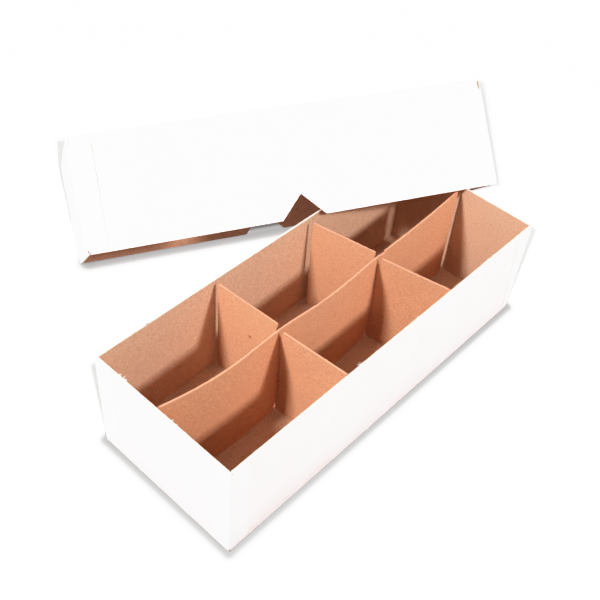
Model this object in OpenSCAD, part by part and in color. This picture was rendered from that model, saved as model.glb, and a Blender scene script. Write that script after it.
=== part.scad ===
// Set-up chipboard box: a tray with six cells and a lift-off lid leaning on it.
// Millimetres. Origin at the centre of the tray's underside, +X along the tray, +Z up.

/* [Tray] */
// Outside length of the tray
tray_l = 228; // [180:1:300]
// Outside width of the tray
tray_w = 88; // [78:1:130]
// Height of the tray's walls over the table
tray_h = 64; // [44:1:74]
// Thickness of the chipboard
board = 1.0; // [0.6:0.1:1.6]
// Radius on the outside of a folded edge
fold_r = 0.7; // [0.3:0.1:1]
// Open slit left where two walls meet at a corner
corner_slit = 0.3; // [0.2:0.1:0.8]

/* [Lid] */
// Slack between the tray's outside and the lid's inside, each side
lid_slack = 0.7; // [0.4:0.1:2]
// How much shallower the lid is than the tray
lid_short = 4; // [0:0.5:20]
// Width of the thumb notch at the free edge
notch_w = 25; // [12:1:40]
// Depth of the thumb notch at its point
notch_d = 13; // [6:1:25]

/* [Lid at rest] */
// How far the lid is turned from the tray's length, in degrees
lid_turn = 28; // [22:0.5:32]
// Where the lid's free edge crosses the back rim, from the right end, as a share of the tray's length
rest_share = 0.381; // [0.32:0.001:0.41]
// How far the lid's middle lies to the left of that crossing
lid_slide = 0.5; // [-4:0.5:4]
// Gap kept between the lid's free edge and the tray's rim
rest_gap = 0.3; // [0.2:0.1:1]

/* [Dividers] */
// How far the dividers stop below the tray's rim
divider_drop = 1.5; // [0.5:0.1:12]
// Slack of the long divider in the tray's length
long_slack = 4.5; // [2:0.1:12]
// Part of that slack at its left end
long_start = 0.7; // [0.3:0.1:1.5]
// Long divider: spline points of its bow behind the middle line, at even steps from its left end
bow = [10.2, 3.3, -1.6, -2.5, -0.3, -3.4, -2.4, -0.4, -0.3, 0.8, 2.6, 4.3]; // [-5:0.1:12]
// Slack of each cross divider in the tray's width
cross_slack = 2.8; // [2:0.1:8]
// Cross dividers' gaps to the tray's front wall, left then right
cross_front = [0.8, 0.4]; // [0.3:0.1:1]
// Cross dividers' places along the tray, left then right, as shares of its length
cross_share = [-0.171, 0.154]; // [-0.2:0.001:0.2]
// How far the cross dividers are turned from square, in degrees, left then right
cross_turn = [1.6, 9]; // [-4:0.1:10]
// How far the free corners beside a cross divider's slot lean to the right, front then back
corner_lean = [-1.4, 0.8]; // [-2:0.1:2]
// Width of the interlocking slots
slot_w = 4; // [3.8:0.1:6]
// Gap between a strip and the near side of the slot that it passes through
slot_gap = 0.35; // [0.25:0.05:0.6]
// Width of the lead-in at a slot's mouth
lead_w = 1.9; // [1.2:0.1:4]
// Width of the same lead-in at its neck, where it steps back into the slot
lead_neck = 0.85; // [0.3:0.05:1]
// Depth of the lead-in
lead_d = 4.8; // [2:0.1:8]
// Depth of the crushed dip in the long divider's top edge, just right of the right crossing
dip_d = 1.3; // [0.5:0.1:4]
// Length of that dip
dip_l = 5; // [3:0.5:12]

/* [Corner stays] */
// Width of the stay tape, laid flat
stay_w = 22; // [20:1:30]
// Thickness of the stay tape
stay_t = 0.2; // [0.1:0.05:0.4]
// Bare height left below the tray's rim
tray_stay_top = 1.9; // [0.5:0.1:6]
// Bare height left above the tray's base
tray_stay_bottom = 3; // [1.5:0.1:8]
// Bare height left below the lid's top panel
lid_stay_top = 5; // [1.5:0.1:12]
// Bare height left above the lid's free edge
lid_stay_bottom = 2.2; // [0.5:0.1:8]
// Tape on the tray's long walls at its upper end: front left, front right, back right, back left
tray_lap_top = [11, 11.4, 11, 10.5]; // [3:0.1:16]
// The same at its lower end
tray_lap_foot = [12, 4.6, 11, 11.5]; // [3:0.1:16]
// Tape on the lid's long walls at its upper end, in the same order
lid_lap_top = [11.9, 7.5, 11, 10.5]; // [3:0.1:16]
// The same at its lower end
lid_lap_foot = [10.7, 8.7, 11, 11.5]; // [3:0.1:16]

/* [Hidden] */
$fn = 32;
eps = 0.01;
lid_l = tray_l + 2 * (lid_slack + board);
lid_w = tray_w + 2 * (lid_slack + board);
lid_h = tray_h - lid_short;
lid_tilt = asin((tray_h + rest_gap) / (lid_w - board));
lid_z = lid_w * sin(lid_tilt);
divider_h = tray_h - board - divider_drop;
long_l = tray_l - 2 * board - long_slack;
cross_l = tray_w - 2 * board - cross_slack;
cross_x = cross_share * tray_l;
long_x = -tray_l / 2 + board + long_start;
slot_play = 0.25;
slot_h = divider_h / 2 + slot_play;
slot_foot = divider_h - slot_h;
crease_lap = 0.3;
bow_spans = len(bow) - 3;
bow_steps = 4;

board_outside = [0.96, 0.955, 0.94];
board_inside = [0.72, 0.52, 0.37];
paper_white = [0.97, 0.97, 0.96];

// Side view of a folded sheet: flat below, both lower edges rounded by the fold
module fold_profile(width, height) {
    translate([-width / 2, fold_r]) square([width, height - fold_r]);
    translate([-width / 2 + fold_r, 0]) square([width - 2 * fold_r, height]);
    for (side = [-1, 1])
        translate([side * (width / 2 - fold_r), fold_r]) circle(r = fold_r);
}

// Open box folded from one sheet: base at z = 0, end walls lapping the ends of the long walls
module folded_box(length, width, height) {
    difference() {
        intersection() {
            rotate([90, 0, 0])
                linear_extrude(height = width, center = true) fold_profile(length, height);
            rotate([90, 0, 90])
                linear_extrude(height = length, center = true) fold_profile(width, height);
        }
        translate([-length / 2 + board, -width / 2 + board, board])
            cube([length - 2 * board, width - 2 * board, height]);
        for (end = [-1, 1], side = [-1, 1])
            translate([end * (length / 2 - board - corner_slit / 2), side * (width - board) / 2, board])
                translate([-corner_slit / 2, -board / 2 - eps, 0])
                    cube([corner_slit, board + 2 * eps, height]);
    }
}

// One stay folded round the corner of a box at the origin, walls running to +x and +y
module stay(height, long_top, long_foot) {
    rotate([90, 0, 0])
        linear_extrude(height = stay_t)
            polygon([[-stay_t, 0], [long_foot, 0], [long_top, height], [-stay_t, height]]);
    rotate([90, 0, -90])
        mirror([1, 0, 0]) linear_extrude(height = stay_t)
            polygon([[0, 0], [stay_w - long_foot, 0], [stay_w - long_top, height], [0, height]]);
}

// Stay on corner n of a box: 0 front left, 1 front right, 2 back right, 3 back left
module corner_stay(n, length, width, z, height, lap_top, lap_foot) {
    flip_x = (n == 1 || n == 2) ? 1 : 0;
    flip_y = n > 1 ? 1 : 0;
    mirror([flip_x, 0, 0]) mirror([0, flip_y, 0])
        translate([-length / 2, -width / 2, z]) stay(height, lap_top[n], lap_foot[n]);
}

// Moves what is drawn for the upright lid (centred, panel on top) to where it leans on the tray
module at_rest() {
    translate([tray_l * (0.5 - rest_share), tray_w / 2, lid_z]) rotate([-lid_tilt, 0, -lid_turn])
        translate([-lid_slide, lid_w / 2, 0]) children();
}

module tray() {
    color(board_outside) folded_box(tray_l, tray_w, tray_h);
}

module lid() {
    color(board_outside) at_rest() difference() {
        translate([0, 0, lid_h]) mirror([0, 0, 1]) folded_box(lid_l, lid_w, lid_h);
        rotate([90, 0, 0]) linear_extrude(height = lid_w + 2 * eps, center = true)
            polygon([[-notch_w / 2, 0], [-notch_w / 2, -eps], [notch_w / 2, -eps], [notch_w / 2, 0],
                [0, notch_d]]);
    }
}

// How far the long divider's middle line stands behind the tray's, u spans from its left end
function bow_at(u) =
    let (n = min(floor(u), bow_spans - 1), f = u - n)
    (pow(1 - f, 3) * bow[n] + (3 * pow(f, 3) - 6 * pow(f, 2) + 4) * bow[n + 1]
    + (1 + 3 * f + 3 * pow(f, 2) - 3 * pow(f, 3)) * bow[n + 2] + pow(f, 3) * bow[n + 3]) / 6;

// Slot for a strip's edge, mouth at height 0, with a stepped lead-in on the side at x = near
module slot_shape(near, far) {
    polygon([[near - lead_w, -eps], [near - lead_w, 0], [near - lead_neck, lead_d], [near, lead_d],
        [near, slot_h], [far, slot_h], [far, -eps]]);
}

module long_divider() {
    steps = bow_spans * bow_steps;
    color(board_inside) difference() {
        translate([long_x, 0, board]) linear_extrude(height = divider_h)
            polygon(concat(
                [for (i = [0 : steps]) [long_l * i / steps, bow_at(i / bow_steps) - board / 2]],
                [for (i = [steps : -1 : 0]) [long_l * i / steps, bow_at(i / bow_steps) + board / 2]]));
        for (x = cross_x)
            translate([x - board / 2 - slot_gap, 0, board]) rotate([90, 0, 0])
                linear_extrude(height = tray_w, center = true) slot_shape(0, slot_w);
        translate([cross_x[1], 0, board + divider_h]) rotate([90, 0, 0])
            linear_extrude(height = tray_w, center = true)
                polygon([[0, eps], [0, -dip_d / 2], [dip_l, -dip_d], [dip_l, eps]]);
    }
}

// Flat corner of board bent off by lean at its free corner, about the crease that runs from the
// slot's foot up to the top of the divider's end
module bent_corner(foot, end, lean) {
    crease = atan2(slot_h, end - foot);
    translate([foot, slot_foot, 0]) rotate([0, 0, crease])
        rotate([asin(lean / (slot_h * cos(crease))), 0, 0]) rotate([0, 0, -crease])
            translate([-foot, -slot_foot, 0])
                linear_extrude(height = board, center = true) children();
}

// Cross divider n: 0 left, 1 right; slotted from above, the free corners beside its slot bent off
module cross_divider(n) {
    turn = cross_turn[n];
    start = -(tray_w / 2 - board - cross_front[n] - board / 2 * sin(abs(turn))) / cos(turn);
    end = start + cross_l;
    near = bow_at((cross_x[n] - long_x) / long_l * bow_spans) - board / 2 - slot_gap;
    far = slot_w / 2;
    lead_z = divider_h - lead_d;
    color(board_inside) translate([cross_x[n], 0, board]) rotate([90, 0, 90 + turn]) {
        linear_extrude(height = board, center = true)
            polygon([[start, 0], [end, 0], [end, divider_h], [far, slot_foot], [near, slot_foot],
                [start, divider_h]]);
        bent_corner(near, start, corner_lean[0])
            polygon([[start, divider_h], [start, divider_h - crease_lap], [near, slot_foot - crease_lap],
                [near, lead_z], [near - lead_neck, lead_z], [near - lead_w, divider_h]]);
        bent_corner(far, end, corner_lean[1])
            polygon([[end, divider_h], [end, divider_h - crease_lap], [far, slot_foot - crease_lap],
                [far, divider_h]]);
    }
}

module tray_stay(n) {
    color(paper_white)
        corner_stay(n, tray_l, tray_w, tray_stay_bottom, tray_h - tray_stay_top - tray_stay_bottom,
            tray_lap_top, tray_lap_foot);
}

module lid_stay(n) {
    color(paper_white) at_rest()
        corner_stay(n, lid_l, lid_w, lid_stay_bottom, lid_h - lid_stay_top - lid_stay_bottom,
            lid_lap_top, lid_lap_foot);
}

tray();
lid();
long_divider();
cross_divider(0);  // cross_divider_left
cross_divider(1);  // cross_divider_right
tray_stay(0);  // tray_stay_front_left
tray_stay(1);  // tray_stay_front_right
tray_stay(2);  // tray_stay_back_right
tray_stay(3);  // tray_stay_back_left
lid_stay(0);  // lid_stay_front_left
lid_stay(1);  // lid_stay_front_right
lid_stay(2);  // lid_stay_back_right
lid_stay(3);  // lid_stay_back_left
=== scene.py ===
"""Looks of the set-up chipboard box: white-lined board, bare brown inside, paper stays, studio light.

Metres, in the row frame: origin at the centre of the tray's underside, +X along the tray, +Z up.
"""

import math
import random

import bmesh
import bpy
from mathutils import Euler, Matrix, Vector


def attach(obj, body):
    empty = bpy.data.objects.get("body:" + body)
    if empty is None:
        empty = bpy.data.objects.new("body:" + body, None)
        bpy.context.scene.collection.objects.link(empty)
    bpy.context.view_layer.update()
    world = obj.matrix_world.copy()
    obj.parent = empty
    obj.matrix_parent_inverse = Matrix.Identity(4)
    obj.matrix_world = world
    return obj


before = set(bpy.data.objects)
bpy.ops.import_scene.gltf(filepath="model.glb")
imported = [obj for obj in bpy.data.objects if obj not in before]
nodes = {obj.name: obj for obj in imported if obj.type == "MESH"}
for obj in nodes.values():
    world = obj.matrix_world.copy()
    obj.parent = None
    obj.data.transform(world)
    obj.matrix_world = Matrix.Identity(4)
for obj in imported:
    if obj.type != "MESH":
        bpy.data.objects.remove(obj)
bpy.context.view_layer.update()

MM = 0.001
# Corners of a square as signs, in turn
SQUARE = ((-1, -1), (1, -1), (1, 1), (-1, 1))

# Sizes repeated from the part's source

TRAY_L, TRAY_W, TRAY_H = 228 * MM, 88 * MM, 64 * MM
LID_L, LID_W, LID_H = 231.4 * MM, 91.4 * MM, 60 * MM
DIVIDER_TOP = 62.5 * MM
BOARD = 1.0 * MM
REST_GAP = 0.3 * MM
REST_SHARE = 0.381
LID_SLIDE = 0.5 * MM
LID_TURN = math.radians(28)
LID_TILT = math.asin((TRAY_H + REST_GAP) / (LID_W - BOARD))
LID_CROSSING = Vector((TRAY_L * (0.5 - REST_SHARE), TRAY_W / 2, LID_W * math.sin(LID_TILT)))

# Where a board's section changes, as depths under its white face

LINER_DEPTH = (0.22 * MM, 0.30 * MM)
BROWN_DEPTH = (0.955 * MM, 0.99 * MM)

# How far from a fold the white face is rubbed, from fully to not at all
RUBBED_REACH = (0.25 * MM, 0.8 * MM)

# Roughness, and the height of each surface's fine relief

LINER_ROUGH = 0.58
BROWN_ROUGH = 0.86
TORN_ROUGH = 0.9
STAY_ROUGH = (0.50, 0.60)
BOARD_RELIEF = 0.06 * MM
STAY_RELIEF = 0.04 * MM

# Colours, linear

WHITE_LINER = (0.93, 0.80, 0.815)
RUBBED_LINER = (0.70, 0.60, 0.50)
STAY_WHITE = (0.93, 0.865, 0.875)
BROWN_TRAY = (0.655, 0.40, 0.265)
BROWN_LID = (0.69, 0.345, 0.21)
BROWN_DIVIDER = (0.645, 0.314, 0.172)
DIVIDER_EDGE = (0.66, 0.285, 0.17)
RIM_EDGE = (0.74, 0.66, 0.58)
# Dark marks, one of them a painted shadow line under the tray's rim
MARK_DARK = (0.10, 0.055, 0.035)
RAW_BROWN = (0.30, 0.17, 0.10)
SMUDGE_BROWN = (0.36, 0.14, 0.065)
FIBRE_WHITE = (0.86, 0.80, 0.74)
# Painted shadow along the edge of a tape
STAY_SHADOW_GREY = (0.36, 0.31, 0.29)


def lid_to_row():
    """Matrix from the upright lid (centred, free edge at z = 0, panel on top) to where it leans."""
    turn = Euler((-LID_TILT, 0, -LID_TURN)).to_matrix().to_4x4()
    return Matrix.Translation(LID_CROSSING) @ turn @ Matrix.Translation((-LID_SLIDE, LID_W / 2, 0))


# Shader nodes

def add(tree, kind, inputs=(), **settings):
    """A shader node with its settings; inputs maps a socket's name or number to a value or to a socket."""
    node = tree.nodes.new("ShaderNode" + kind)
    for key, value in settings.items():
        setattr(node, key, value)
    for key, value in dict(inputs).items():
        if isinstance(value, bpy.types.NodeSocket):
            tree.links.new(value, node.inputs[key])
        else:
            node.inputs[key].default_value = value
    return node


def math_node(tree, operation, *values):
    """One arithmetic step on values or sockets."""
    return add(tree, "Math", dict(enumerate(values)), operation=operation).outputs[0]


def ramp(tree, value, low, high, to_low=0.0, to_high=1.0):
    """value moved smoothly from low..high to to_low..to_high."""
    return add(tree, "MapRange", {0: value, 1: low, 2: high, 3: to_low, 4: to_high},
               interpolation_type="SMOOTHSTEP").outputs[0]


def mix(tree, share, first, second):
    """Colour from first to second, by share."""
    first, second = ((*c, 1) if isinstance(c, tuple) else c for c in (first, second))
    return add(tree, "Mix", {0: share, 6: first, 7: second}, data_type="RGBA").outputs[2]


def scaled(colour, factors):
    """A colour with each channel multiplied by its factor, at most 1."""
    return tuple(min(c * f, 1) for c, f in zip(colour, factors))


def noise(tree, place, scale, detail=2.0, roughness=0.5, distortion=0.0):
    """Cloudy noise from 0 to 1, with about scale clouds in a metre."""
    return add(tree, "TexNoise", {"Vector": place, "Scale": scale, "Detail": detail,
                                  "Roughness": roughness, "Distortion": distortion}).outputs[0]


def flecks(tree, place, scale, size, shift):
    """Mask of small irregular specks, one in about every other cell of a grid of that scale."""
    moved = add(tree, "Mapping", {"Vector": place, "Location": (shift, 2 * shift, 3 * shift)}).outputs[0]
    cells = add(tree, "TexVoronoi", {"Vector": moved, "Scale": scale})
    spot = ramp(tree, cells.outputs["Distance"], size, 1.6 * size, to_low=1.0, to_high=0.0)
    chosen = add(tree, "SeparateColor", {0: cells.outputs["Color"]}).outputs[0]
    return math_node(tree, "MULTIPLY", spot, ramp(tree, chosen, 0.45, 0.5))


def fine_relief(tree, surface, height, strength, depth):
    """Bumps a surface's shading by a height, measured in units of depth."""
    bump = add(tree, "Bump", {"Strength": strength, "Distance": depth, "Height": height})
    tree.links.new(bump.outputs[0], surface.inputs["Normal"])


def new_material(name):
    """A material, its node tree and its surface node."""
    material = bpy.data.materials.new(name)
    material.use_nodes = True
    return material, material.node_tree, material.node_tree.nodes["Principled BSDF"]


def wear(obj, material):
    """Puts material in every slot of a CAD node or a new piece."""
    if not obj.material_slots:
        obj.data.materials.append(material)
    for slot in obj.material_slots:
        slot.material = material


# Board and paper

def brown_board(tree, place, colour):
    """Colour and relief of bare recycled board: mottled fibre, dark and pale flecks."""
    cloud = noise(tree, place, scale=45, detail=3, roughness=0.6)
    fibre = noise(tree, place, scale=1150, detail=5, roughness=0.75, distortion=0.4)
    grain = noise(tree, place, scale=2300, detail=3, roughness=0.6)
    dark = scaled(colour, (0.66, 0.56, 0.48))
    pale = scaled(colour, (1.24, 1.33, 1.42))
    tone = mix(tree, ramp(tree, fibre, 0.28, 0.72), dark, pale)
    tone = mix(tree, ramp(tree, cloud, 0.3, 0.7, to_low=0.55, to_high=0.25), tone, colour)
    tone = mix(tree, ramp(tree, grain, 0.55, 0.8, to_high=0.35), tone, dark)

    dark_flecks = math_node(tree, "MULTIPLY", flecks(tree, place, scale=210, size=0.055, shift=0.4), 0.75)
    tone = mix(tree, dark_flecks, tone, scaled(colour, (0.42, 0.32, 0.26)))
    pale_flecks = math_node(tree, "MULTIPLY", flecks(tree, place, scale=330, size=0.07, shift=0.9), 0.7)
    tone = mix(tree, pale_flecks, tone, scaled(colour, (1.38, 1.62, 1.9)))
    relief = math_node(tree, "ADD", fibre, math_node(tree, "MULTIPLY", grain, 0.6))
    return tone, relief


def cut_edge(tree, place, colour):
    """Colour of a raw cut edge: torn fibre in soft patches."""
    fibre = noise(tree, place, scale=1500, detail=4, roughness=0.7, distortion=0.8)
    patch = noise(tree, place, scale=160, detail=2, roughness=0.5)
    dark = scaled(colour, (0.84, 0.84, 0.84))
    pale = scaled(colour, (1.16, 1.16, 1.16))
    tone = mix(tree, ramp(tree, fibre, 0.3, 0.7), dark, pale)
    return mix(tree, ramp(tree, patch, 0.45, 0.75, to_high=0.45), tone, colour)


def white_liner(tree, place, edge_distance):
    """Colour and weave of the white face, rubbed in places near the folds."""
    mottle = noise(tree, place, scale=75, detail=4, roughness=0.6)
    weave = noise(tree, place, scale=1400, detail=3, roughness=0.6)
    shade = scaled(WHITE_LINER, (0.97, 0.965, 0.955))
    tone = mix(tree, ramp(tree, mottle, 0.35, 0.65), shade, WHITE_LINER)
    tone = mix(tree, ramp(tree, weave, 0.5, 0.85, to_high=0.5), tone, shade)

    near_fold = ramp(tree, edge_distance, *RUBBED_REACH, to_low=1.0, to_high=0.0)
    worn = ramp(tree, noise(tree, place, scale=190, detail=5, roughness=0.7), 0.58, 0.70, to_high=0.5)
    return mix(tree, math_node(tree, "MULTIPLY", near_fold, worn), tone, RUBBED_LINER), weave


def lined_board(name, half_l, half_w, brown, to_upright, panel_up):
    """White-lined board for a folded box: the finish follows the depth under the box's outer faces,
    so the liner is white, the cut edges show the plies and the inside is bare brown."""
    material, tree, surface = new_material(name)
    place = add(tree, "TexCoord").outputs["Object"]
    upright = add(tree, "Mapping", {"Vector": place, "Location": to_upright.to_translation(),
                                    "Rotation": to_upright.to_euler()}).outputs[0]
    x, y, z = add(tree, "SeparateXYZ", {0: upright}).outputs
    depth_x = math_node(tree, "SUBTRACT", half_l, math_node(tree, "ABSOLUTE", x))
    depth_y = math_node(tree, "SUBTRACT", half_w, math_node(tree, "ABSOLUTE", y))
    depth_z = math_node(tree, "SUBTRACT", LID_H, z) if panel_up else z
    depth = math_node(tree, "MINIMUM", math_node(tree, "MINIMUM", depth_x, depth_y), depth_z)

    # The second smallest depth is the distance from the nearest fold
    deepest = math_node(tree, "MAXIMUM", math_node(tree, "MAXIMUM", depth_x, depth_y), depth_z)
    total = math_node(tree, "ADD", math_node(tree, "ADD", depth_x, depth_y), depth_z)
    second = math_node(tree, "SUBTRACT", math_node(tree, "SUBTRACT", total, depth), deepest)

    liner, weave = white_liner(tree, upright, second)
    bare, relief = brown_board(tree, upright, brown)
    tone = mix(tree, ramp(tree, depth, *LINER_DEPTH), liner, cut_edge(tree, upright, RIM_EDGE))
    inside = ramp(tree, depth, *BROWN_DEPTH)
    tone = mix(tree, inside, tone, bare)
    tree.links.new(tone, surface.inputs["Base Color"])
    rough = ramp(tree, inside, 0, 1, to_low=LINER_ROUGH, to_high=BROWN_ROUGH)
    tree.links.new(rough, surface.inputs["Roughness"])
    height = math_node(tree, "ADD", math_node(tree, "MULTIPLY", weave, 0.25),
                       math_node(tree, "MULTIPLY", relief, inside))
    fine_relief(tree, surface, height, strength=0.35, depth=BOARD_RELIEF)
    return material


def divider_board(name):
    """Bare brown board for the strips; their cut edges show torn fibre."""
    material, tree, surface = new_material(name)
    place = add(tree, "TexCoord").outputs["Object"]
    up = add(tree, "SeparateXYZ", {0: add(tree, "NewGeometry").outputs["Normal"]}).outputs[2]
    bare, relief = brown_board(tree, place, BROWN_DIVIDER)
    tone = mix(tree, ramp(tree, up, 0.4, 0.6), bare, cut_edge(tree, place, DIVIDER_EDGE))
    tree.links.new(tone, surface.inputs["Base Color"])
    surface.inputs["Roughness"].default_value = BROWN_ROUGH
    fine_relief(tree, surface, relief, strength=0.35, depth=BOARD_RELIEF)
    return material


def stay_paper(name):
    """White kraft tape: a little brighter and smoother than the board's liner, with fine fibre."""
    material, tree, surface = new_material(name)
    place = add(tree, "TexCoord").outputs["Object"]
    fibre = noise(tree, place, scale=900, detail=4, roughness=0.65, distortion=0.4)
    cloud = noise(tree, place, scale=60, detail=3, roughness=0.6)
    shade = scaled(STAY_WHITE, (0.965, 0.965, 0.965))
    tone = mix(tree, ramp(tree, cloud, 0.35, 0.65), shade, STAY_WHITE)
    tone = mix(tree, ramp(tree, fibre, 0.5, 0.8, to_high=0.5), tone, shade)
    tree.links.new(tone, surface.inputs["Base Color"])
    tree.links.new(ramp(tree, fibre, 0.3, 0.7, *STAY_ROUGH), surface.inputs["Roughness"])
    fine_relief(tree, surface, fibre, strength=0.3, depth=STAY_RELIEF)
    return material


def torn_board(name, colour):
    """Finely mottled colour for loose fibre and raw scraps of board, and for painted shadow lines and dark
    marks.
    """
    material, tree, surface = new_material(name)
    place = add(tree, "TexCoord").outputs["Object"]
    tree.links.new(cut_edge(tree, place, colour), surface.inputs["Base Color"])
    surface.inputs["Roughness"].default_value = TORN_ROUGH
    return material


# Materials on the CAD nodes

wear(nodes["tray"], lined_board("tray_board", TRAY_L / 2, TRAY_W / 2, BROWN_TRAY,
                                Matrix.Identity(4), panel_up=False))
wear(nodes["lid"], lined_board("lid_board", LID_L / 2, LID_W / 2, BROWN_LID,
                               lid_to_row().inverted(), panel_up=True))
divider = divider_board("divider_board")
for name in ("long_divider", "cross_divider_left", "cross_divider_right"):
    wear(nodes[name], divider)
stay = stay_paper("stay_paper")
for name, node in nodes.items():
    if "_stay_" in name:
        wear(node, stay)

# Torn fibres: thin tapering slivers, gathered into one piece for each board

SLIVER_STEPS = 4
SLIVER_THICK = 0.12 * MM
WIDTH_TAPER = 0.8
THICK_TAPER = 0.5


def mm(*values):
    """A point given in millimetres."""
    return Vector(values) * MM


def sliver(scrap, root, along, across, length, width, thick=SLIVER_THICK, curl=0.0):
    """Adds a thin tapering strip to a bmesh, from root along one direction, curling off its flat."""
    along, across = Vector(along).normalized(), Vector(across).normalized()
    lift = along.cross(across).normalized()
    across = lift.cross(along)
    rings = []
    for step in range(SLIVER_STEPS + 1):
        t = step / SLIVER_STEPS
        middle = Vector(root) + along * length * t + lift * curl * length * t * t
        side = across * width / 2 * (1 - WIDTH_TAPER * t * t)
        half = lift * thick / 2 * (1 - THICK_TAPER * t)
        rings.append([scrap.verts.new(middle + sx * side + sz * half) for sx, sz in SQUARE])
    for low, high in zip(rings, rings[1:]):
        for k in range(4):
            scrap.faces.new((low[k], low[(k + 1) % 4], high[(k + 1) % 4], high[k]))
    scrap.faces.new(rings[0][::-1])
    scrap.faces.new(rings[-1])


def scraps_piece(name, scrap, material, body):
    """One new piece from a bmesh of slivers, riding on a body."""
    mesh = bpy.data.meshes.new(name)
    bmesh.ops.recalc_face_normals(scrap, faces=scrap.faces[:])
    scrap.to_mesh(mesh)
    scrap.free()
    piece = bpy.data.objects.new(name, mesh)
    bpy.context.scene.collection.objects.link(piece)
    wear(piece, material)
    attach(piece, body)


# A board's top edges are those this close under its top, and longer than this
EDGE_REACH = 0.05 * MM
SHORTEST_EDGE = 1.5 * MM
# How far under such an edge a fibre starts, and its thickness
FIBRE_ROOT = 0.05 * MM
FIBRE_THICK = 0.06 * MM


def top_edges(node, top):
    """Ends of a CAD node's longer mesh edges that lie along its top."""
    mesh = node.data
    for edge in mesh.edges:
        a, b = (mesh.vertices[v].co for v in edge.vertices)
        if min(a.z, b.z) > top - EDGE_REACH and (b - a).length > SHORTEST_EDGE:
            yield a, b


def fuzz(scrap, draw, node, top, per_metre, longest, keep=lambda point: True):
    """Short fibres standing off the top edges of a cut board."""
    for a, b in top_edges(node, top):
        for _ in range(int((b - a).length * per_metre + draw.random())):
            root = a.lerp(b, draw.random())
            along = Vector((draw.uniform(-1, 1), draw.uniform(-1, 1), draw.uniform(0.1, 0.9)))
            length = longest * draw.uniform(0.35, 1) ** 2
            curl = draw.uniform(-0.4, 0.4)
            if keep(root):
                sliver(scrap, root - Vector((0, 0, FIBRE_ROOT)), along, (draw.uniform(-1, 1), 1, 0.3),
                       length, draw.uniform(0.10, 0.24) * MM, FIBRE_THICK, curl)


# The stretch of the back rim, in x, that the lid's near wall crosses
LID_ON_RIM = (-10 * MM, 114 * MM)


def away_from_lid(point):
    """True where the lid leaves the rim free, with room for a fibre."""
    return not (LID_ON_RIM[0] < point.x < LID_ON_RIM[1] and point.y > 0)


# Burrs that stand out in the photograph: root in mm, direction, length and width in mm
RIM_BURRS = (
    ((-113.1, 28.3, 63.9), (0.8, -0.5, 0.5), 1.6, 0.8),
    ((-113.2, 25.3, 63.9), (0.9, 0.4, 0.5), 1.9, 1.0),
    ((-113.3, 24.4, 63.9), (0.8, -0.6, 0.5), 1.6, 0.8),
    ((-113.3, -6.7, 63.9), (0.9, -0.3, 0.4), 1.4, 0.8),
    ((-113.4, -9.4, 63.9), (0.6, -0.7, 0.4), 1.3, 0.7),
    ((13.4, -43.6, 63.9), (-0.4, 0.6, 0.5), 1.3, 0.7),
)
BURR_FLAT = (0.1, 0.2, 1)
BURR_CURL = 0.3

# A torn star of fibre on the front rim: its place, then each ray's direction and length in mm
STAR = mm(-29.6, -43.5, 63.9)
STAR_RAYS = (
    ((-0.9, 0.55, 0.25), 2.6),
    ((0.2, 0.8, 0.35), 1.9),
    ((0.9, 0.2, 0.3), 2.2),
    ((-0.3, -0.8, 0.3), 1.5),
    ((0.6, -0.6, 0.4), 1.3),
)
RAY_WIDTH = 0.45 * MM

draw = random.Random(28)
white_fibre = torn_board("torn_liner", FIBRE_WHITE)
scrap = bmesh.new()
fuzz(scrap, draw, nodes["tray"], TRAY_H, per_metre=170, longest=0.75 * MM, keep=away_from_lid)
for root, along, length, width in RIM_BURRS:
    sliver(scrap, mm(*root), along, BURR_FLAT, length * MM, width * MM, curl=BURR_CURL)
for along, length in STAR_RAYS:
    sliver(scrap, STAR, along, (0, 0, 1), length * MM, RAY_WIDTH, curl=draw.uniform(-0.3, 0.3))
scraps_piece("rim_fibres", scrap, white_fibre, "tray_body")

brown_fibre = torn_board("torn_divider", DIVIDER_EDGE)
for name, slot in (("long_divider", "long_divider_board"), ("cross_divider_left", "cross_divider_board"),
                   ("cross_divider_right", "cross_divider_board")):
    scrap = bmesh.new()
    fuzz(scrap, draw, nodes[name], DIVIDER_TOP, per_metre=220, longest=0.6 * MM)
    scraps_piece(name + "_fibres", scrap, brown_fibre, "tray_body")

# Marks, each as root in mm, direction, direction across, length and width in mm

# Dark marks on the tray: one on the back rim, a painted shadow line under the rim at the front-left corner,
# and two thin dark ticks at that corner's foot
TRAY_DARK_MARKS = (
    ((-84.6, 43.5, 64.02), (1, 0.15, 0), (0, 1, 0), 1.9, 0.7),
    ((-113.95, -44.02, 61.9), (0.1, 0, -1), (1, 0.3, 0), 1.2, 0.55),
    ((-113.9, -44.02, 4.9), (0, 0, -1), (1, -0.6, 0), 4.0, 0.5),
    ((-114.02, -43.3, 1.3), (0.4, -1, 0), (0, 0, 1), 1.5, 0.6),
)
SMUDGE = ((-40.03, 17.6, 41.2), (0, 1, 0.1), (0, 0, 1), 2.2, 1.7)
LOOSE_FIBRE = ((30.7, 25.2, 22.4), (0, 0.5, 1), (0, 1, -0.4), 2.4, 0.5)

# Those on the lid are given for the upright lid
# Thin dark ticks at the lid's near-left corner, by its free edge
LID_DARK_MARKS = (
    ((-115.3, -45.72, 2.3), (0.05, 0, -1), (1, 0, 0), 2.2, 0.5),
    ((-115.2, -45.72, 0.4), (1, 0, 0.3), (0, 0, 1), 1.3, 0.35),
)
# A painted shadow line along an edge of the lid's left tape
STAY_SHADOW_LINE = ((-103.62, -45.74, 55.0), (-1.2, 0, -52.8), (1, 0, 0), 52.8, 0.6)
RAW_LINE = ((115.05, -45.92, 59.3), (0, 0, -1), (1, 0, 0), 8.2, 0.75)


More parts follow.
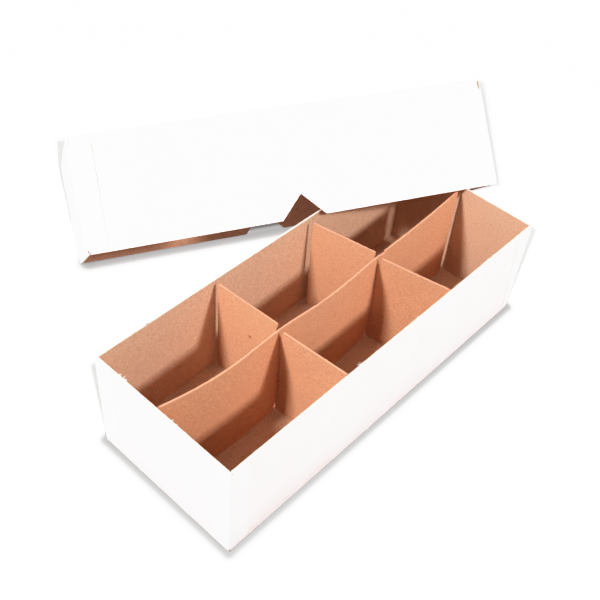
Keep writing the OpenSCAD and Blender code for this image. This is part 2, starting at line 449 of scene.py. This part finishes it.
def marks_piece(name, marks, material, body, to_row=Matrix.Identity(4)):
    """One new piece from a few marks; to_row takes them from where they are given to the row frame."""
    turn = to_row.to_3x3()
    scrap = bmesh.new()
    for root, along, across, length, width in marks:
        sliver(scrap, to_row @ mm(*root), turn @ Vector(along), turn @ Vector(across),
               length * MM, width * MM)
    scraps_piece(name, scrap, material, body)


# The tray's dark marks include a painted shadow line under its rim
dark_marks_material = torn_board("mark_dark", MARK_DARK)
raw_brown = torn_board("raw_brown", RAW_BROWN)
smudge_brown = torn_board("smudge_brown", SMUDGE_BROWN)
glue_line = torn_board("glue_line", STAY_SHADOW_GREY)
marks_piece("tray_dark_marks", TRAY_DARK_MARKS, dark_marks_material, "tray_body")
marks_piece("cross_divider_left_smudge", [SMUDGE], smudge_brown, "tray_body")
marks_piece("cross_divider_right_fibre", [LOOSE_FIBRE], white_fibre, "tray_body")
marks_piece("lid_dark_marks", LID_DARK_MARKS, dark_marks_material, "lid_body", lid_to_row())
# A painted shadow line along the edge of the lid's tape
marks_piece("lid_stay_shadow", [STAY_SHADOW_LINE], glue_line, "lid_body", lid_to_row())
marks_piece("lid_raw_edge", [RAW_LINE], raw_brown, "lid_body", lid_to_row())

# Stage

STAGE_HALF = 6.0
FLOOR_Z = -0.2 * MM
WALL_FOOT_Z = -0.4 * MM
WALL_SIDES = 48
# Scene brightness that is shown as pure white
WHITE = 2.6
# Beside a contact the floor's brightness is SHADOW_LEVEL + SHADOW_RISE * e ** (distance / length),
# up to WHITE, where the length is TRAY_SHADOW or LID_SHADOW
SHADOW_LEVEL = 0.43
SHADOW_RISE = 0.02
TRAY_SHADOW = 1.3 * MM
LID_SHADOW = 2.1 * MM
# The lid's resting edge casts its contact shadow up to this far from its ends
LID_SHADOW_INSET = 2.5 * LID_SHADOW
# The floor also gets painted shade where pieces closer than this hide it
NEAR_REACH = 40 * MM
# The share of the floor's light that is its own near the box, and where it rises to all of it
NEAR_GLOW = 0.19
GLOW_RISE = (0.30, 0.60)


def beyond(tree, value, half):
    """How far value lies outside -half..half, 0 inside."""
    outside = math_node(tree, "SUBTRACT", math_node(tree, "ABSOLUTE", value), half)
    return math_node(tree, "MAXIMUM", outside, 0.0)


def contact_distance(tree, place, middle, turn, half_l, half_w):
    """Distance from a level rectangle, for a place given where that rectangle's body is at rest."""
    local = add(tree, "Mapping", {"Vector": place, "Location": middle, "Rotation": (0, 0, turn)},
                vector_type="TEXTURE").outputs[0]
    x, y, z = add(tree, "SeparateXYZ", {0: local}).outputs
    gap = add(tree, "CombineXYZ", {0: beyond(tree, x, half_l), 1: beyond(tree, y, half_w), 2: z}).outputs[0]
    return add(tree, "VectorMath", {0: gap}, operation="LENGTH").outputs["Value"]


def floor_level(tree, place):
    """The floor's brightness: WHITE, less a painted contact shadow round the tray's foot and the lid's
    resting edge, and painted shade where pieces close by hide it.
    """
    lid_edge = lid_to_row() @ Vector((0, LID_W / 2, 0))
    lid_place = add(tree, "TexCoord", object=nodes["lid"]).outputs["Object"]
    from_tray = contact_distance(tree, place, (0, 0, 0), 0, TRAY_L / 2, TRAY_W / 2)
    from_lid = contact_distance(tree, lid_place, lid_edge, -LID_TURN, LID_L / 2 - LID_SHADOW_INSET, 0)
    nearest = math_node(tree, "MINIMUM", math_node(tree, "DIVIDE", from_tray, TRAY_SHADOW),
                        math_node(tree, "DIVIDE", from_lid, LID_SHADOW))
    rise = math_node(tree, "EXPONENT", nearest)
    level = math_node(tree, "MULTIPLY_ADD", rise, SHADOW_RISE, SHADOW_LEVEL)
    level = math_node(tree, "MINIMUM", level, WHITE)
    open_sky = add(tree, "AmbientOcclusion", {"Distance": NEAR_REACH}, samples=8).outputs["AO"]
    return math_node(tree, "MULTIPLY", level, ramp(tree, open_sky, 0.0, 0.55, to_low=0.4))


def floor():
    """Pale floor, partly its own light as on a light table and partly lit by a lamp."""
    mesh = bpy.data.meshes.new("floor")
    corners = [(sx * STAGE_HALF, sy * STAGE_HALF, FLOOR_Z) for sx, sy in SQUARE]
    mesh.from_pydata(corners, [], [(0, 1, 2, 3)])
    plane = bpy.data.objects.new("floor", mesh)
    bpy.context.scene.collection.objects.link(plane)
    plane.visible_diffuse = False

    material, tree, surface = new_material("floor_white")
    tree.nodes.remove(surface)
    place = add(tree, "TexCoord").outputs["Object"]
    level = floor_level(tree, place)
    spread = add(tree, "VectorMath", {0: place}, operation="LENGTH").outputs["Value"]
    own = ramp(tree, spread, *GLOW_RISE, to_low=NEAR_GLOW)
    glow = add(tree, "Emission", {"Strength": math_node(tree, "MULTIPLY", level, own)})
    lit = math_node(tree, "MULTIPLY", math_node(tree, "DIVIDE", level, WHITE),
                    math_node(tree, "SUBTRACT", 1.0, own))
    grey = add(tree, "CombineColor", {0: lit, 1: lit, 2: lit}).outputs[0]
    matt = add(tree, "BsdfDiffuse", {"Color": grey})
    both = add(tree, "AddShader", {0: glow.outputs[0], 1: matt.outputs[0]})
    tree.links.new(both.outputs[0], tree.nodes["Material Output"].inputs["Surface"])
    wear(plane, material)
    return plane


def backdrop():
    """White wall round the floor's edge; it is only seen, and neither lights nor shades anything."""
    mesh = bpy.data.meshes.new("backdrop")
    turns = [2 * math.pi * k / WALL_SIDES for k in range(WALL_SIDES)]
    ring = [(STAGE_HALF * math.cos(turn), STAGE_HALF * math.sin(turn)) for turn in turns]
    foot = [(x, y, WALL_FOOT_Z) for x, y in ring]
    top = [(x, y, STAGE_HALF) for x, y in ring]
    sides = [(k, (k + 1) % WALL_SIDES) for k in range(WALL_SIDES)]
    mesh.from_pydata(foot + top, [], [(a, b, b + WALL_SIDES, a + WALL_SIDES) for a, b in sides])
    wall = bpy.data.objects.new("backdrop", mesh)
    bpy.context.scene.collection.objects.link(wall)
    wall.visible_diffuse = wall.visible_glossy = wall.visible_shadow = False

    material, tree, surface = new_material("backdrop_white")
    tree.nodes.remove(surface)
    glow = add(tree, "Emission", {"Strength": WHITE})
    tree.links.new(glow.outputs[0], tree.nodes["Material Output"].inputs["Surface"])
    wear(wall, material)


ground = floor()
backdrop()

# Lamps

AIM = (0, 0, 0.03)


def lamp(name, place, power, size, colour):
    """A square area lamp, aimed at the box."""
    light = bpy.data.lights.new(name, "AREA")
    light.energy, light.size, light.color = power, size, colour
    aim = (Vector(AIM) - Vector(place)).to_track_quat("-Z", "Y").to_matrix().to_4x4()
    obj = bpy.data.objects.new(name, light)
    obj.matrix_world = Matrix.Translation(place) @ aim
    bpy.context.scene.collection.objects.link(obj)
    return obj


def light_only(light, obj, state):
    """Makes a lamp light nothing but obj (INCLUDE), or everything but obj (EXCLUDE)."""
    group = bpy.data.collections.new(light.name + "_receivers")
    group.objects.link(obj)
    group.collection_objects[0].light_linking.link_state = state
    light.light_linking.receiver_collection = group


def even_falloff(light):
    """Keeps a lamp as bright far away as near, like a large distant one."""
    light.data.use_nodes = True
    tree = light.data.node_tree
    falloff = add(tree, "LightFalloff", {"Strength": 1.0})
    tree.links.new(falloff.outputs["Constant"], tree.nodes["Emission"].inputs["Strength"])


key = lamp("key_right_front", (0.149, -0.545, 0.540), power=5.6, size=0.075, colour=(1.0, 0.94, 0.92))
fill = lamp("fill_left_back", (-0.760, 0.130, 0.660), power=11.2, size=0.095, colour=(1.0, 0.985, 0.97))
for light in (key, fill):
    light_only(light, ground, "EXCLUDE")

# A small lamp just in front of the camera's place gives the floor a narrow shadow beside the outline
table_light = lamp("table_light", (-0.2217, -0.1584, 0.3490), power=38.5, size=0.009, colour=(1, 1, 1))
table_light.visible_camera = False
even_falloff(table_light)
light_only(table_light, ground, "INCLUDE")

ROOM_COLOUR = (1.0, 1.06, 1.0, 1)
ROOM_STRENGTH = 0.395

world = bpy.data.worlds.new("studio")
bpy.context.scene.world = world
world.use_nodes = True
background = world.node_tree.nodes["Background"]
background.inputs["Color"].default_value = ROOM_COLOUR
background.inputs["Strength"].default_value = ROOM_STRENGTH

# Camera, at the photograph's place

CAMERA_PLACE = (-0.26107, -0.19222, 0.38216)
CAMERA_RIGHT = (0.681084, -0.729312, 0.065027)
CAMERA_UP = (0.492602, 0.522105, 0.696240)
CAMERA_BACK = (-0.541727, -0.442165, 0.714858)
SENSOR = 36.0
LENS = 54.51

camera_data = bpy.data.cameras.new("camera")
camera_data.sensor_fit = "HORIZONTAL"
camera_data.sensor_width, camera_data.lens = SENSOR, LENS
camera_data.clip_start, camera_data.clip_end = 0.01, 100
camera = bpy.data.objects.new("camera", camera_data)
turn = Matrix((CAMERA_RIGHT, CAMERA_UP, CAMERA_BACK)).transposed().to_4x4()
camera.matrix_world = Matrix.Translation(CAMERA_PLACE) @ turn
bpy.context.scene.collection.objects.link(camera)
bpy.context.scene.camera = camera

# Tone: straight up to the shoulder, then rolled off so that bright whites stay apart from the floor

SHOULDER = 0.86
CURVE_LEVELS = (SHOULDER, 0.92, 1.0, 1.1, 1.25, 1.45, 1.7, 2.1)


def rolled_off(level):
    """A brightness over SHOULDER, bent towards 1 without a kink."""
    room = 1 - SHOULDER
    return 1 - room ** 2 / (level - SHOULDER + room)


def shown(level):
    """The same, lifted a little so that WHITE comes out as 1."""
    return rolled_off(level) + (1 - rolled_off(WHITE)) * (level - SHOULDER) / (WHITE - SHOULDER)


view = bpy.context.scene.view_settings
view.view_transform = "Standard"
view.use_curve_mapping = True
view.curve_mapping.white_level = (WHITE, WHITE, WHITE)
tone_curve = view.curve_mapping.curves[3]
for level in CURVE_LEVELS:
    tone_curve.points.new(level / WHITE, shown(level))
for point in tone_curve.points:
    point.handle_type = "VECTOR"
view.curve_mapping.update()

bpy.context.view_layer.update()
